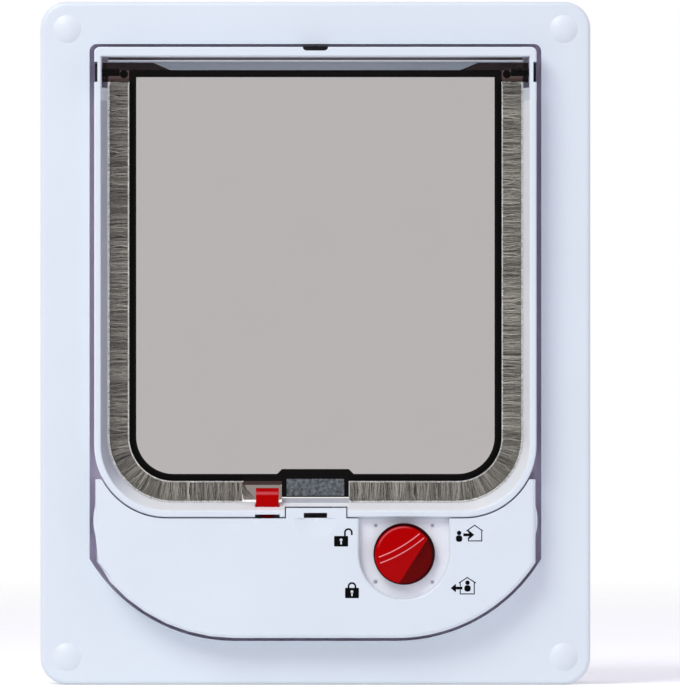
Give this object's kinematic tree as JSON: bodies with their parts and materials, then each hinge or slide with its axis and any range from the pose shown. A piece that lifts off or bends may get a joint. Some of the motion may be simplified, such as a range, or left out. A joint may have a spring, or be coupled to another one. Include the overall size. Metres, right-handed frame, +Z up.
{
  "type": "cat flap",
  "caption": "White door-mounted cat flap with a smoked clear swinging panel edged in brush pile, a magnet-worked entry latch and a turning lock knob.",
  "frame": {"origin": "centre of the four fixing screws, on the door-side face of the indoor plate", "axes": "+X to the right seen from indoors, +Y from the room into the door, +Z up"},
  "size_m": [0.236, 0.0807, 0.293],
  "materials": {
    "white_plastic": "satin moulded plastic with fine grain",
    "smoked_clear": "clear smoked plastic, polished",
    "brush_pile": "grey-beige bristle pile",
    "magnet_grey": "sintered grey magnet",
    "bright_steel": "bright zinc-plated steel",
    "red_plastic": "glossy red moulded plastic",
    "black_plastic": "black moulded plastic",
    "copper_wire": "enamelled copper winding",
    "battery_can": "plain printed metal can",
    "brass_strip": "bare brass strip",
    "board_green": "green lacquered board",
    "sensor_glass": "small glass tube"
  },
  "bodies": {
    "frame": {"interior_plate": "white_plastic", "inner_frame": "white_plastic", "exterior_frame": "white_plastic", "screw_cap_1": "white_plastic", "screw_cap_2": "white_plastic", "screw_cap_3": "white_plastic", "screw_cap_4": "white_plastic", "keeper_plate": "bright_steel", "coil_bobbin": "black_plastic", "latch_coil": "copper_wire", "coil_yoke": "bright_steel", "latch_spring": "bright_steel", "battery": "battery_can", "battery_clip": "black_plastic", "contact_strip_positive": "brass_strip", "contact_strip_negative": "brass_strip", "circuit_board": "board_green", "control_chip": "black_plastic", "capacitor": "black_plastic", "magnet_sensor": "sensor_glass", "fixing_screw_1": "bright_steel", "fixing_screw_2": "bright_steel", "fixing_screw_3": "bright_steel", "fixing_screw_4": "bright_steel", "frame_screw_1": "bright_steel", "board_screw_1": "bright_steel", "frame_screw_2": "bright_steel", "board_screw_2": "bright_steel"},
    "flap_body": {"flap": "smoked_clear", "brush_strip_left": "brush_pile", "brush_strip_right": "brush_pile", "flap_magnet": "magnet_grey", "hinge_pin_left": "black_plastic", "hinge_pin_right": "black_plastic"},
    "latch_body": {"entry_latch": "red_plastic", "latch_plunger": "bright_steel"},
    "knob_body": {"lock_knob": "red_plastic", "lock_shaft": "red_plastic"},
    "cover_body": {"battery_cover": "white_plastic"}
  },
  "joints": [
    {"name": "flap_swing", "type": "hinge", "parent": "frame", "child": "flap_body", "pos_m": [0, -0.00775, 0.1161], "axis": [1, 0, 0], "range_deg": [-85, 85]},
    {"name": "latch_lift", "type": "slide", "parent": "frame", "child": "latch_body", "axis": [0, 0, 1], "range_m": [0, 0.006], "stiffness_N_per_m": 12, "deforming": ["latch_spring"]},
    {"name": "knob_turn", "type": "hinge", "parent": "frame", "child": "knob_body", "pos_m": [0.038, 0, -0.0903], "axis": [0, 1, 0], "range_deg": [0, 270]},
    {"name": "cover_pull", "type": "slide", "parent": "frame", "child": "cover_body", "axis": [0, -1, 0], "range_m": [0, 0.03]}
  ]
}
